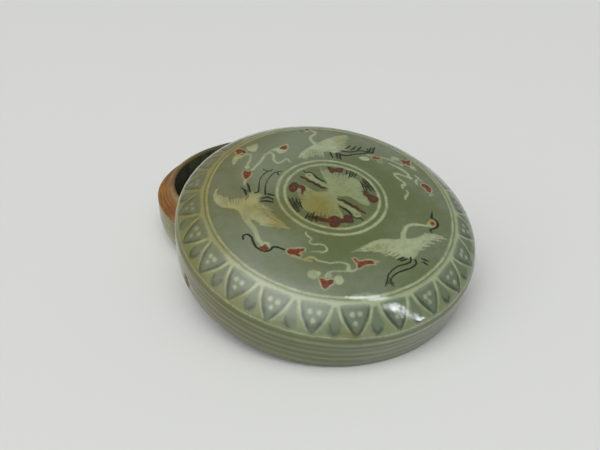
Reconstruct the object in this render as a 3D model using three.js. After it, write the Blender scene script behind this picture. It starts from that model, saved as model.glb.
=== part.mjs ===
// A round celadon box of two thrown pieces, a base dish and a domed lid.
// The lid has been slid off towards -Y: its low edge stands on the table and its skirt leans across the collar
// of the base. Millimetres, +Z up. The origin is the centre of the base's flat bottom.
import * as THREE from "three";
import * as BufferGeometryUtils from "three/addons/utils/BufferGeometryUtils.js";

// Lid: outside
const lid_radius = 55;
const lid_edge_tuck = 0.4;
const lid_edge_round = 0.5;
const skirt_height = 11.7;
const shoulder_height = 9.7;
const shoulder_width = 9.7;
const shoulder_top_run = 4.2;
const shoulder_top_drop = 2.5;
const shoulder_side_rise = 4.3;
const dome_rise = 3.5;

// Lid: inside
const lid_wall = 4.4;
const skirt_wall = 4.2;
const lid_corner_round = 6;

// Base: outside
const lid_overhang = 1;
const base_foot_tuck = 6.5;
const base_belly_height = 11;
const ledge_height = 18;
const ledge_rise = 1.5;
const ledge_edge_round = 0.7;

// Base: the collar that the lid's skirt goes round
const seat_clearance = 0.5;
const collar_height = 3.2;
const collar_width = 4;
const collar_round = 1.2;
const collar_lean = 1.7;
const collar_face_angle = 30;

// Base: the well
const base_floor_thickness = 4.5;
const well_taper = 0.6;
const well_corner_round = 7;

// Radii that follow from the fit of the lid on the base
const skirt_inner_radius = lid_radius - skirt_wall;
const collar_radius = skirt_inner_radius - seat_clearance;
const base_radius = lid_radius - lid_overhang;
const base_foot_radius = base_radius - base_foot_tuck;

// How the lid has been put down
const lid_slide = 48;
const resting_gap = 0.3;

// Fineness of the round forms and of the search for the lid's lean
const segments_around = 72;
const dome_steps = 4;
const shoulder_steps = 9;
const corner_steps = 5;
const edge_steps = 3;
const foot_steps = 6;
const lean_halvings = 30;
const lean_limit = Math.PI / 4;
const contact_samples = 4 * segments_around;

// Points of a quarter of an ellipse, from the angle at its start to the angle at its end.
function arc(centre_r, centre_z, size_r, size_z, start, end, steps) {
  const points = [];
  for (let i = 0; i <= steps; i += 1) {
    const angle = THREE.MathUtils.degToRad(start + ((end - start) * i) / steps);
    points.push(new THREE.Vector2(centre_r + size_r * Math.cos(angle), centre_z + size_z * Math.sin(angle)));
  }
  return points;
}

// A shallow dome from its middle to its edge, as a parabola.
function dome(edge_radius, edge_height, rise, steps) {
  const points = [];
  for (let i = 0; i <= steps; i += 1) {
    const share = i / steps;
    points.push(new THREE.Vector2(edge_radius * share, edge_height + rise * (1 - share * share)));
  }
  return points;
}

// Section of the base, from the middle of its bottom, up the wall and down into the well.
function base_section() {
  const ledge_inner_height = ledge_height + ledge_rise;
  const collar_top = ledge_inner_height + collar_height;
  const collar_top_radius = collar_radius - collar_lean;
  const well_radius = collar_radius - collar_width;
  const well_floor_radius = well_radius - well_taper;
  return [
    new THREE.Vector2(0, 0),
    ...arc(base_foot_radius, base_belly_height, base_radius - base_foot_radius, base_belly_height, -90, 0,
      foot_steps),
    ...arc(base_radius - ledge_edge_round, ledge_height - ledge_edge_round, ledge_edge_round, ledge_edge_round,
      0, 90, edge_steps),
    new THREE.Vector2(collar_radius, ledge_inner_height),
    ...arc(collar_top_radius - collar_round, collar_top - collar_round, collar_round, collar_round,
      collar_face_angle, 90, edge_steps),
    new THREE.Vector2(well_radius + ledge_edge_round, collar_top),
    new THREE.Vector2(well_radius, collar_top - ledge_edge_round),
    ...arc(well_floor_radius - well_corner_round, base_floor_thickness + well_corner_round, well_corner_round,
      well_corner_round, 0, -90, corner_steps),
    new THREE.Vector2(0, base_floor_thickness),
  ];
}

// Curve of the lid's shoulder between the top of the skirt and the edge of the dome.
function shoulder(side_radius, side_height, top_radius, top_height, steps) {
  const curve = new THREE.CubicBezierCurve(
    new THREE.Vector2(side_radius, side_height),
    new THREE.Vector2(side_radius, side_height + shoulder_side_rise),
    new THREE.Vector2(top_radius + shoulder_top_run, top_height - shoulder_top_drop),
    new THREE.Vector2(top_radius, top_height),
  );
  return curve.getPoints(steps);
}

// Section of the lid, from the middle of its ceiling, down the inside and back over the outside.
function lid_section() {
  const shoulder_top_radius = lid_radius - shoulder_width;
  const shoulder_top = skirt_height + shoulder_height;
  const ceiling_edge = shoulder_top - lid_wall;
  const ceiling = dome(skirt_inner_radius - lid_corner_round, ceiling_edge, dome_rise, dome_steps);
  const inner_corner = arc(skirt_inner_radius - lid_corner_round, ceiling_edge - lid_corner_round,
    lid_corner_round, lid_corner_round, 90, 0, corner_steps).slice(1);
  const edge_radius = lid_radius - lid_edge_tuck;
  return [
    ...ceiling,
    ...inner_corner,
    ...arc(skirt_inner_radius + lid_edge_round, lid_edge_round, lid_edge_round, lid_edge_round, 180, 270,
      edge_steps),
    ...arc(edge_radius - lid_edge_round, lid_edge_round, lid_edge_round, lid_edge_round, -90, 0, edge_steps),
    new THREE.Vector2(lid_radius, skirt_height / 2),
    ...shoulder(lid_radius, skirt_height, shoulder_top_radius, shoulder_top, shoulder_steps),
    ...dome(shoulder_top_radius, shoulder_top, dome_rise, dome_steps).reverse().slice(1),
  ];
}

// Height of what lies under a point at this distance from the middle of the base: its top side, or the table.
function support_height(section, distance) {
  let height = 0;
  for (let i = 1; i < section.length; i += 1) {
    const near = section[i].x < section[i - 1].x ? section[i] : section[i - 1];
    const far = near === section[i] ? section[i - 1] : section[i];
    if (distance >= near.x && distance <= far.x && far.x > near.x) {
      const share = (distance - near.x) / (far.x - near.x);
      height = Math.max(height, near.y + share * (far.y - near.y));
    }
  }
  return height;
}

// How high the lid's own frame stands when it leans by this angle with its lowest point on the table.
function lean_height(section, lean) {
  const depths = section.map((point) => point.y * Math.cos(lean) - point.x * Math.sin(lean));
  return -Math.min(...depths);
}

// The least height of the leaning lid over the base.
function clearance_over_base(lid_points, base_points, lean) {
  const rise = lean_height(lid_points, lean);
  let least = Infinity;
  for (const point of lid_points) {
    for (let i = 0; i < contact_samples; i += 1) {
      const angle = (2 * Math.PI * i) / contact_samples;
      const x = point.x * Math.cos(angle);
      const along = point.x * Math.sin(angle);
      const y = along * Math.cos(lean) - point.y * Math.sin(lean) - lid_slide;
      const z = rise + along * Math.sin(lean) + point.y * Math.cos(lean);
      const distance = Math.hypot(x, y);
      if (distance < base_radius) {
        least = Math.min(least, z - support_height(base_points, distance));
      }
    }
  }
  return least;
}

// The lean at which the skirt rests on the collar, found by halving.
function resting_lean(lid_points, base_points) {
  let low = 0;
  let high = lean_limit;
  for (let i = 0; i < lean_halvings; i += 1) {
    const middle = (low + high) / 2;
    if (clearance_over_base(lid_points, base_points, middle) < resting_gap) {
      low = middle;
    } else {
      high = middle;
    }
  }
  return high;
}

// A closed body of revolution about Z.
function turned(section, material) {
  const lathe = new THREE.LatheGeometry(section, segments_around);
  lathe.deleteAttribute("normal");
  lathe.deleteAttribute("uv");
  lathe.rotateX(Math.PI / 2);
  const body = BufferGeometryUtils.mergeVertices(lathe);
  body.computeVertexNormals();
  return new THREE.Mesh(body, material);
}

const glaze = new THREE.MeshStandardMaterial({ color: 0x7b8468, roughness: 0.25, metalness: 0 });
const body_glaze = new THREE.MeshStandardMaterial({ color: 0x8a8b72, roughness: 0.4, metalness: 0 });

const base_points = base_section();
const lid_points = lid_section();
const lean = resting_lean(lid_points, base_points);

const box = new THREE.Group();

const base = turned(base_points, body_glaze);
base.name = "base";
box.add(base);

const lid_place = new THREE.Group();
lid_place.position.set(0, -lid_slide, lean_height(lid_points, lean));
lid_place.rotation.x = lean;
box.add(lid_place);

const lid = turned(lid_points, glaze);
lid.name = "lid";
lid_place.add(lid);

export default box;
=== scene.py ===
"""Looks of a round celadon box: a dish and an inlaid, domed lid that leans on it. Metres, +Z up.

Sections and drawings are in millimetres and are scaled by mm when their meshes are made.
"""

import math

import bpy
import numpy as np
from mathutils import Matrix, Vector, kdtree, noise
from mathutils.geometry import delaunay_2d_cdt


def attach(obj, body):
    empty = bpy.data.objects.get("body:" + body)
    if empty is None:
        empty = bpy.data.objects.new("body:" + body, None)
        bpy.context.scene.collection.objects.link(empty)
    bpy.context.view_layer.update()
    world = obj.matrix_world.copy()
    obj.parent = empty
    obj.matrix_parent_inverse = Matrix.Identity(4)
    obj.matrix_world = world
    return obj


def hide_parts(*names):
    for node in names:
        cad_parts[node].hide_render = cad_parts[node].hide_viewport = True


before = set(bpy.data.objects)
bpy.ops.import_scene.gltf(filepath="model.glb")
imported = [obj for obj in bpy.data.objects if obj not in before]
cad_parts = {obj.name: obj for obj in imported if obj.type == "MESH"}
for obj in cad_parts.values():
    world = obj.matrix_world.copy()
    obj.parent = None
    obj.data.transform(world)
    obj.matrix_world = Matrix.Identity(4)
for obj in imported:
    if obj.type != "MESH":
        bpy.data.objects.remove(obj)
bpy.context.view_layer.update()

mm = 0.001

# Lid: section
lid_radius = 55.0
lid_edge_tuck = 0.4
lid_edge_round = 0.5
skirt_height = 11.7
shoulder_height = 9.7
shoulder_width = 9.7
shoulder_top_run = 4.2
shoulder_top_drop = 2.5
shoulder_side_rise = 4.3
dome_rise = 3.5
crease_inside = 4.0
crease_outside = 1.8
lid_wall = 4.4
skirt_wall = 4.2
lid_corner_round = 6.0
dome_radius = lid_radius - shoulder_width
shoulder_top = skirt_height + shoulder_height
skirt_inner_radius = lid_radius - skirt_wall
ceiling_edge = shoulder_top - lid_wall

# Base: section
lid_overhang = 1.0
seat_clearance = 0.5
base_foot_tuck = 6.5
base_belly_height = 11.0
ledge_height = 18.0
ledge_rise = 1.5
ledge_edge_round = 0.7
collar_height = 3.2
collar_width = 4.0
collar_round = 1.2
collar_lean = 1.7
collar_face_angle = 30.0
base_floor_thickness = 4.5
well_taper = 0.6
well_corner_round = 7.0
base_radius = lid_radius - lid_overhang
base_foot_radius = base_radius - base_foot_tuck
collar_radius = skirt_inner_radius - seat_clearance
well_radius = collar_radius - collar_width
well_floor_radius = well_radius - well_taper

# Where the finishes change, measured along each section from its middle
glaze_change = (20.0, 42.0)
medallion_edge = 16.0
wash_thins = (48.0, 54.0)
ring_keeps_clean = (47.5, 46.0)
skirt_start = 58.0
lid_edge_start = 71.0
lid_inside_start = 75.0
ledge_start = 67.7
collar_start = 72.2
well_start = 78.2

# Turned lines, each as its distance from the middle and its width
white_lines = ((16.93, 1.0), (19.56, 1.0), (44.1, 0.8), (56.75, 0.5), (59.35, 1.0))
# A pale band next to the rings, partly pale wash and partly painted sheen
bright_wash_and_sheen = ((46.2, 1.7),)
faint_lines = ((61.4, 0.3), (63.8, 0.6), (66.4, 0.6), (69.4, 0.4))
grooves = ((58.1, 0.3), (60.6, 0.5), (62.6, 0.3), (65.2, 0.5), (68.0, 0.4))
worn_foot = ((47.0, 2.0),)
out_of_reach = 9.0

# Inlay: how it is drawn, and where the band of petals lies
drawing_step = 0.5
field_reach = 1.6
ink_spread = {"black": 0.09, "white": 0.04}
red_outline = 0.42
medallion_red_outline = -0.8
pattern_turn = math.radians(-26.08)
band_start = 45.0
band_end = 56.6
petal_count = 24
petal_start = 47.0
petal_length = 9.3
petal_turn = math.radians(268.7)

# Petals, given as (share of a petal's pitch, share of its length) from the root up: the side of a large
# petal, its white outline and grey vein, the side of a small petal between two, and the dots with their size
large_petal = ((0.4, -0.04), (0.37, 0.12), (0.315, 0.32), (0.245, 0.5), (0.165, 0.68), (0.08, 0.86))
petal_outline = ((0.425, 0.0), (0.395, 0.14), (0.34, 0.34), (0.27, 0.53), (0.19, 0.71), (0.1, 0.89))
petal_vein = ((0.335, 0.08), (0.285, 0.3), (0.215, 0.5), (0.135, 0.69), (0.055, 0.86))
small_petal = ((0.03, 0.06), (0.065, 0.27), (0.11, 0.47), (0.15, 0.66), (0.13, 0.8), (0.06, 0.92))
petal_dots = ((-0.095, 0.25, 1.4), (0.095, 0.24, 1.4), (0.0, 0.52, 1.3))

# What differs between petals: least and most of shift, width, tip and lean, and of the grey vein's width
petal_least = (-0.02, 0.96, -0.03, -0.02)
petal_most = (0.02, 1.04, 0.02, 0.02)
vein_width = (0.95, 1.45)
petal_seed = 24

# Stains in the inlay: angle in degrees, distance from the middle, reach round and along, strength
stains = (
    (184, 46.0, 26, 2.0, 0.98), (190, 51.0, 32, 6.5, 0.8), (155, 48.0, 22, 8.0, 0.97),
    (222, 45.6, 9, 1.6, 0.5), (236, 46.6, 3, 1.0, 0.4), (242, 53.5, 4, 2.5, 0.5),
    (281, 55.8, 3.4, 1.4, 0.98), (250, 50.5, 2.5, 0.8, 0.4), (225, 54.5, 18, 1.8, 0.35),
    (215, 64.0, 38, 9.0, 0.9), (240, 66.0, 26, 6.0, 0.4), (221, 21.0, 7, 4.0, 0.5),
    (199, 33.5, 12, 10.0, 0.6), (224, 24.5, 5, 3.5, 0.85), (206, 28.0, 5, 5.0, 0.45),
    (172, 38.0, 12, 6.0, 0.35), (238, 8.5, 9, 9.0, 0.97), (225, 6.0, 8, 6.0, 0.4), (60, 2.0, 4, 12.0, 0.4),
    (353, 36.2, 1.8, 1.8, 0.95), (261, 31.6, 2.4, 1.2, 0.9), (250, 31.0, 2.0, 1.4, 0.6),
    (88, 37.0, 2.5, 7.0, 0.4), (311, 27.0, 5, 3.0, 0.3))

# Greyer clouds in the lid's glaze, some of them painted sheen of reflected light, given as the stains are
grey_clouds_and_sheen = (
    (150, 27, 20, 12, 0.7), (232, 34, 16, 9, 0.7), (268, 40, 16, 5, 0.5), (60, 41, 16, 6, 0.4),
    (110, 33, 16, 9, 0.5), (302, 65, 28, 9, 1.0), (238, 42, 18, 2.5, 0.55))

# Chips in the lid's edge: angle in degrees, distance from the middle, width, height, depth
chips = ((215.5, 67.8, 5.0, 6.0, 0.5), (320.0, 70.8, 1.6, 1.0, 0.5), (277.0, 71.0, 2.2, 0.6, 0.3))
chip_raggedness = 0.25
chip_grain = 1.2
chip_steepness = 2.5
chip_seed = 5

# Hand-made unevenness: how far the surface stays inside the solid, and how high and long its waves are
surface_depth = 0.06
wave_height = 0.05
lid_wave_scale = 14.0
lid_wave_seed = 1
base_wave_scale = 16.0
base_wave_seed = 2
foot_flat_below = 0.05

# Fineness
arc_points = 25
curve_points = 41
easing_points = 17
section_step = 0.05
lid_columns = 480
base_columns = 240
drawn_spacing = 0.65
drawing_gap = 0.45
plain_spacing = 2.5
well_spacing = 1.5
skirt_row = 0.5
edge_row = 0.2
lid_inside_row = 1.0
base_row = 0.6
ceiling_radius = 44.0

# Colours as they look on a screen, from 0 to 255. A glaze has its light, dark and brown parts
middle_glaze = ((92, 103, 72), (82, 94, 58), (84, 86, 50))
outer_glaze = ((98, 107, 85), (88, 99, 67), (89, 91, 57))
inside_glaze = ((92, 96, 70), (78, 82, 54), (82, 70, 40))
base_glaze = ((118, 118, 64), (96, 94, 38), (88, 79, 23))
glaze_specks = (62, 62, 40)
# greyer clouds in the glaze, partly painted sheen
grey_cloud_and_sheen = (118, 125, 108)
band_wash = (124, 134, 96)
# pale wash with painted sheen next to the rings
band_wash_and_sheen = (150, 160, 130)
petal_glaze = (95, 107, 88)
white_slip = (145, 155, 122)
reddened_slip = (158, 142, 104)
medallion_slip = (138, 154, 120)
dot_slip = (160, 166, 142)
feather_gap = (92, 100, 66)
grey_slip = (48, 57, 44)
black_slip = (18, 25, 12)
copper_red = (114, 35, 12)
dull_red = (58, 26, 15)
skirt_glaze = (84, 94, 58)
skirt_brown = (94, 98, 48)
skirt_pale = (112, 110, 80)
throwing_line = (134, 140, 112)
groove_glaze = (70, 79, 50)
well_rim_glaze = (84, 86, 64)
# dark glaze deep in the well, with painted shade
well_glaze_and_shade = (52, 52, 40)
well_pools = (38, 37, 27)
worn_glaze = (122, 98, 66)

# Bare clay has its light and dark parts
lid_edge_clay = ((112, 86, 46), (74, 58, 32))
ledge_clay = ((131, 86, 20), (95, 56, 12))
collar_clay = ((128, 104, 62), (104, 78, 42))
clay_pits = (70, 44, 26)
# painted shadow of the lid on the far side of the bare clay
lid_shadow_on_clay = (64, 66, 50)

# Tints that the stains multiply, from clean to full, as linear colours
clean_tint = (1.0, 1.0, 1.0, 1.0)
ochre_tint = (0.85, 0.56, 0.18, 1.0)

# Floor and background
floor_half_width = 3.0
floor_colour = (207, 208, 205)
floor_roughness = 0.6
background_level = 0.62

# Soft bright parts of the room: azimuth, elevation, where the fading starts and stops, in degrees, strength
room_level = 0.29
glows = ((-150, 68, 8, 38, 2.6), (-120, 44, 8, 55, 1.2))

# Lamps, in metres: each runs between two directions, given by azimuth and elevation, and has a power
lamp_target = (0.0, -0.08, 0.03)
lamp_distance = 1.5
lamp_width = 0.07
lamp_colour = (0.88, 0.95, 1.0)
lamps = {
    "ceiling_lamp": ((108, 71.5), (127, 59), 1.4),
    "window_top": ((146, 42), (143, 33), 1.1),
    "window": ((143, 33), (138, 8), 2.2),
    "window_foot": ((138, 8), (135, 0), 1.3),
}

# Camera: its place in metres, and how far it is turned to the right, down and round its own axis, in degrees
camera_place = (-0.0778, -0.2237, 0.1293)
camera_right = 21.28
camera_down = 29.09
camera_roll = 0.95
camera_lens = 35.0
camera_sensor = 36.0

marks = []


def smooth(points, closed=False):
    """Points about drawing_step apart on a smooth curve through the given ones."""
    p = np.array(points, float)
    if closed:
        p = np.vstack([p[-1:], p, p[:2]])
    else:
        p = np.vstack([2 * p[:1] - p[1:2], p, 2 * p[-1:] - p[-2:-1]])
    parts = []
    for a, b, c, d in zip(p[:-3], p[1:-2], p[2:-1], p[3:]):
        steps = max(1, math.ceil(np.linalg.norm(c - b) / drawing_step))
        t = np.arange(steps)[:, None] / steps
        parts.append(b + 0.5 * t * (c - a + t * (2 * a - 5 * b + 4 * c - d + t * (3 * b - a - 3 * c + d))))
    if not closed:
        parts.append(p[-2:-1])
    return np.vstack(parts)


def stroke(ink, widths, *lines):
    """Lines of slip. The widths are spread evenly from each line's start to its end."""
    for points in lines:
        line = smooth(points)
        half = np.interp(np.linspace(0, 1, len(line)), np.linspace(0, 1, len(widths)), widths) / 2
        marks.append((ink, line, half + ink_spread.get(ink, 0)))


def patch(ink, points):
    """A closed patch of slip."""
    marks.append((ink, smooth(points, closed=True), None))


def dot(ink, x, y, width, height=None):
    """A round or oval dot."""
    turns = np.linspace(0, 2 * math.pi, 8, endpoint=False)
    patch(ink, [(x + width / 2 * math.cos(a), y + (height or width) / 2 * math.sin(a)) for a in turns])


def along_edge(edge, first_tip, last_tip, count):
    """Roots and tips of feathers spread along an edge, turning from the first to the last tip's offset."""
    line = smooth(edge)
    for i in range(count):
        share = (i + 0.5) / count
        uneven = 0.75 + 0.6 * ((i * 7) % 5) / 4
        tip = (np.array(first_tip) * (1 - share) + np.array(last_tip) * share) * uneven
        yield line[int(share * (len(line) - 1))], tip, line[int((i + 1) / count * (len(line) - 1))]


def feathers(edge, first_tip, last_tip, count):
    """White feathers that stand out from an edge, with dark gaps between them."""
    for root, tip, gap in along_edge(edge, first_tip, last_tip, count):
        bend = np.array([-tip[1], tip[0]]) * 0.1
        stroke("white", (1.0, 0.8, 0.5, 0.1), [root - tip * 0.4, root + tip * 0.5 + bend, root + tip * 1.4])
        stroke("cut", (0.05, 0.25, 0.4), [gap - tip * 0.9, gap - tip * 0.3, gap + tip * 0.3])


def barbs(edge, first_tip, last_tip, count):
    """Dark lines between the feathers inside a wing."""
    for root, tip, gap in along_edge(edge, first_tip, last_tip, count):
        stroke("cut", (0.05, 0.3, 0.05), [root - tip * 0.3, root + tip * 0.5, root + tip])


def crane_with_red_crown():
    """The white crane at the far side."""
    patch("white", [
        (-8.6, 30.4), (-6.3, 33), (-3.6, 36.3), (-0.6, 39), (3.3, 41.4), (2.4, 38.6), (1.7, 35), (1.5, 31),
        (1.1, 27.6), (-0.6, 25.7), (-3.2, 25.8), (-6.2, 24.8), (-8.6, 24.1), (-10.8, 22.6), (-12.2, 20.6),
        (-14, 18.6), (-13.9, 21.3), (-12.6, 24.1), (-10.8, 27.1), (-9.4, 29)])
    stroke("white", (0.7, 1.1, 1, 1.2, 2.4), [
        (-11.6, 40.6), (-9.9, 40.3), (-9.2, 39), (-9.8, 37.3), (-10.8, 35.4), (-10.7, 33.4), (-9.6, 31.4),
        (-7.4, 29.6)])
    dot("white", -13.2, 39.7, 2.2, 1.9)
    stroke("black", (0.4, 0.1), [(-14, 39.6), (-15, 39.3), (-15.8, 39.2)])
    patch("red", [(-13.7, 40.6), (-13.2, 41.7), (-11.9, 41.9), (-11.4, 41), (-12.4, 40.5)])
    dot("black", -13.2, 39.9, 0.5)
    feathers([(-12.2, 20.6), (-10.6, 22.8), (-8, 24.2), (-5, 25.2)], (-0.5, -2.2), (0.6, -1.9), 8)
    feathers([(2.6, 40.4), (1.8, 36.5), (1.6, 31.5), (1.2, 27.6)], (1.3, 0.6), (1.5, -0.6), 11)
    barbs([(-1.4, 34.2), (0.4, 37)], (2.4, -0.6), (1.6, -1.6), 3)
    barbs([(-11.6, 22.4), (-9.6, 24.6), (-7.4, 26)], (0.3, -2.4), (0.9, -2.4), 4)
    stroke("black", (0.5, 0.75, 0.4), [(-2.4, 25.6), (-2, 24), (-1.2, 22.2)],
           [(0, 25.8), (0.2, 24), (0.7, 21.9)], [(1.1, 25.8), (1.5, 23.8), (1.9, 21.7)])
    stroke("black", (0.3, 0.8, 0.4), [(3.3, 30.2), (4.4, 31.4), (5.3, 33.2)],
           [(5.4, 29.5), (6.5, 31.2), (7.6, 33.4)], [(8.1, 30.4), (8.8, 31.8), (9.6, 33.6)])
    stroke("black", (0.9, 0.6, 0.55, 0.6), [
        (1.3, 25.3), (3, 24.9), (5.2, 25.7), (6.6, 26.9), (8.8, 27.8), (10.6, 28.9), (12.2, 29.9)])
    stroke("black", (0.9, 0.6, 0.55, 0.5), [
        (2.3, 28), (4.6, 28), (6.4, 28.7), (8.2, 29.9), (10.4, 30.6), (12.7, 30.8)])
    stroke("black", (0.6, 0.3), [(12.5, 30.8), (12.3, 32), (12, 33.2)])
    stroke("black", (0.6, 0.7, 0.3), [(12.9, 30.6), (13.2, 32.4), (13.6, 34.5)])
    stroke("black", (0.6, 0.8, 0.5, 0.7, 0.3), [
        (12.4, 30.2), (13.6, 30.2), (14.5, 31.2), (14.6, 33.2), (15.2, 35.5)])


def crane_with_crest():
    """The yellowed crane on the left, flying towards the viewer."""
    patch("white", [
        (-41, -4.4), (-39.9, -6.9), (-38.4, -8), (-36.6, -9.3), (-34.2, -9.9), (-31.8, -9.5), (-29.6, -8.4),
        (-28.2, -6.6), (-26.6, -5.4), (-25.2, -6.6), (-24.8, -9.6), (-23.4, -12), (-21.4, -14.2),
        (-19.2, -16), (-16.4, -17.8), (-13.8, -19.4), (-16.2, -19.4), (-18.6, -19.9), (-21.2, -19.7),
        (-23.4, -18.6), (-25.8, -17.4), (-27.6, -18.3), (-29.2, -17.2), (-30.5, -14.8), (-32.2, -13.5),
        (-34.6, -13.2), (-37, -12.9), (-39.2, -11.3), (-40.6, -8.6)])
    stroke("white", (2.4, 1.7, 1.4, 1.3), [
        (-28.2, -16.6), (-26.5, -19.2), (-24.6, -21.3), (-23.4, -23.4), (-22.4, -25.6), (-21.2, -27.2)])
    dot("white", -19.6, -28.1, 3.2, 3)
    patch("red", [
        (-21.6, -28.9), (-20.6, -28.6), (-19.8, -27.7), (-19, -28.3), (-18.1, -29.3), (-19.2, -30.2),
        (-20.8, -29.9)])
    stroke("black", (0.5, 0.6, 0.65, 0.5, 0.65, 0.5), [
        (-27, -26.5), (-27.4, -25.3), (-26.6, -24.4), (-25.5, -24.5), (-24.5, -25.4), (-23.7, -27.2),
        (-22.5, -29), (-20.9, -30.1), (-19.3, -30.5), (-17.9, -29.8), (-17.1, -28.6), (-16.2, -28.2),
        (-15, -28.4), (-13.3, -28.9)])
    stroke("white", (1.6, 1.1, 0.7, 0.3), [(-39.6, -9.4), (-40.5, -7.4), (-40.7, -5.4), (-40.3, -3.6)])
    feathers([(-39.2, -8.2), (-36.6, -9.6), (-33, -10), (-29.4, -8.4)], (-1, 1.5), (0.3, 1), 10)
    feathers([(-28.4, -6.4), (-26.6, -5.4), (-25, -6.6)], (-0.8, 1.3), (1, 0.8), 5)
    feathers([(-25.2, -9.6), (-23.6, -12), (-21.4, -14.4), (-18.6, -16.6)], (2, 0.1), (3, -1.6), 9)
    feathers([(-22.2, -19.4), (-18.8, -19.2), (-15.4, -18.9)], (2.6, -0.6), (3, -0.4), 4)
    barbs([(-37.4, -11.2), (-34.6, -12)], (-0.8, 1.4), (-0.4, 1.8), 3)
    stroke("black", (0.6, 0.3, 0.15, 0.25, 0.3), [
        (-26.9, -4.5), (-25.8, -3.6), (-26.1, -0.5), (-26.3, 2.8), (-25.8, 5.2), (-24.9, 7.2), (-23.4, 8.6),
        (-22.6, 9.6)])
    stroke("black", (0.6, 0.3, 0.15, 0.25, 0.3), [
        (-23.2, -4.8), (-23.6, -2.4), (-23.8, 0.6), (-23.4, 3.6), (-22.5, 6.2), (-21.3, 8), (-19.4, 8.9)])
    stroke("black", (0.3, 0.2), [(-26.2, 9.2), (-25.2, 8.5), (-24.2, 8.4), (-23, 8.5)],
           [(-24.8, 7.2), (-25.3, 6.4)])
    stroke("black", (0.3, 0.4), [(-21, 8.2), (-20.4, 7.4), (-20, 6.6)])
    stroke("black", (0.4, 0.8, 0.5), [(-32.2, -2.4), (-30.7, -3.6), (-29.7, -5.9)])
    stroke("black", (0.4, 0.7, 0.5), [(-30.3, 0.2), (-29.6, -1.6), (-28.7, -4.1)])
    stroke("black", (0.5, 0.7, 0.4), [(-22.4, -4.4), (-21.2, -4.7), (-20, -4.9)])
    stroke("black", (0.4, 0.8, 0.4), [(-24, -6.9), (-22.2, -6.2), (-20.1, -6.9)])
    stroke("black", (0.4, 0.8, 0.5), [(-24.2, -8.5), (-22.2, -8.1), (-20, -8.4)])


def crane_with_ochre_head():
    """The white crane on the right."""
    patch("white", [
        (8.4, -25.8), (10.6, -23.8), (13.6, -20.9), (16.8, -18.3), (20, -17.1), (23.6, -16.3),
        (25.6, -15.4), (28.2, -14.6), (30.4, -13.3), (32.8, -11.4), (35.6, -10.2), (37.4, -10.6),
        (35.8, -12.6), (34.2, -14.6), (32.6, -16.8), (31.2, -18.8), (30.2, -21.2), (28.8, -23.2),
        (26.4, -23.4), (23.6, -22.8), (20.4, -22.4), (16.8, -22.2), (13.8, -22.8), (11.2, -24.2)])
    stroke("white", (2.2, 1.4, 1.1, 0.9, 0.8), [
        (25.6, -16.4), (25.5, -13.8), (26, -11.2), (27.1, -9.1), (29, -7.7), (31.6, -7), (34.2, -6.6),
        (35.4, -5.6)])
    patch("white", [
        (34.2, -6.6), (34.4, -5), (35.2, -3.4), (36.2, -2.6), (37.3, -3.4), (37.6, -5), (36.8, -6.4),
        (35.6, -7)])
    dot("red", 36.3, -4.8, 1.5, 1.7)
    dot("black", 36.3, -4.8, 0.5, 0.6)
    stroke("black", (0.3, 0.6, 0.8, 0.6, 0.5, 0.3), [
        (35.9, -2.2), (37.2, -2.3), (38.1, -3.4), (38.2, -5), (37.4, -6.6), (36, -7.6), (35.2, -8.5),
        (35.9, -9.3)])
    stroke("black", (0.9, 0.6, 0.15), [(36.1, -1.9), (36.3, -0.1), (36.5, 1.7)])
    stroke("white", (0.9, 0.6, 0.2), [(33.4, -10.9), (37, -10.2), (39.6, -10)],
           [(34.4, -11.8), (38, -11.2), (41.3, -10.7)], [(34, -13), (36.6, -12.6), (39, -12.5)],
           [(33, -14.6), (34.8, -14.4), (36.4, -14.5)], [(31.6, -16.9), (33.2, -16.5), (34.8, -16)],
           [(30.6, -18.6), (31.8, -18.4), (33, -18)])
    feathers([(12, -23.8), (16.4, -22.4), (21, -22.6), (25.4, -23.4)], (-1.7, -1), (-0.9, -1), 10)
    barbs([(16.4, -20.6), (19.6, -19.6), (23.2, -19.4)], (-1, -1.4), (-0.8, -1.8), 4)
    barbs([(32.2, -15.4), (33.4, -13.4)], (1.4, 0.1), (1.5, 0.3), 3)
    stroke("black", (0.6, 0.4, 0.3, 0.35, 0.2), [
        (28, -23), (27.9, -24.8), (26.4, -26.2), (24, -27.6), (21.9, -29.8), (20.6, -32), (20.3, -34.2),
        (19.8, -36.6)])
    stroke("black", (0.6, 0.4, 0.4, 0.3, 0.2), [
        (29.6, -23.6), (29.8, -25.2), (28.2, -27.2), (25.8, -28.9), (23.6, -30.5), (22, -32.4),
        (21.4, -34.6), (22.6, -36)])
    stroke("black", (0.25, 0.1), [(20.4, -34.4), (21, -35.4)], [(20.3, -34.6), (19.7, -35.2)],
           [(21.5, -34.4), (22.6, -34.8)])
    stroke("black", (0.2, 0.6, 0.2), [(23.4, -25.3), (24.4, -24.5), (25.5, -23.7)],
           [(24.6, -25.5), (25.6, -24.7), (26.9, -23.9)], [(31.6, -22.3), (32.8, -22.6), (34.2, -22.9)],
           [(31.9, -23.7), (32.9, -24.1), (33.9, -24.6)])


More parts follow.
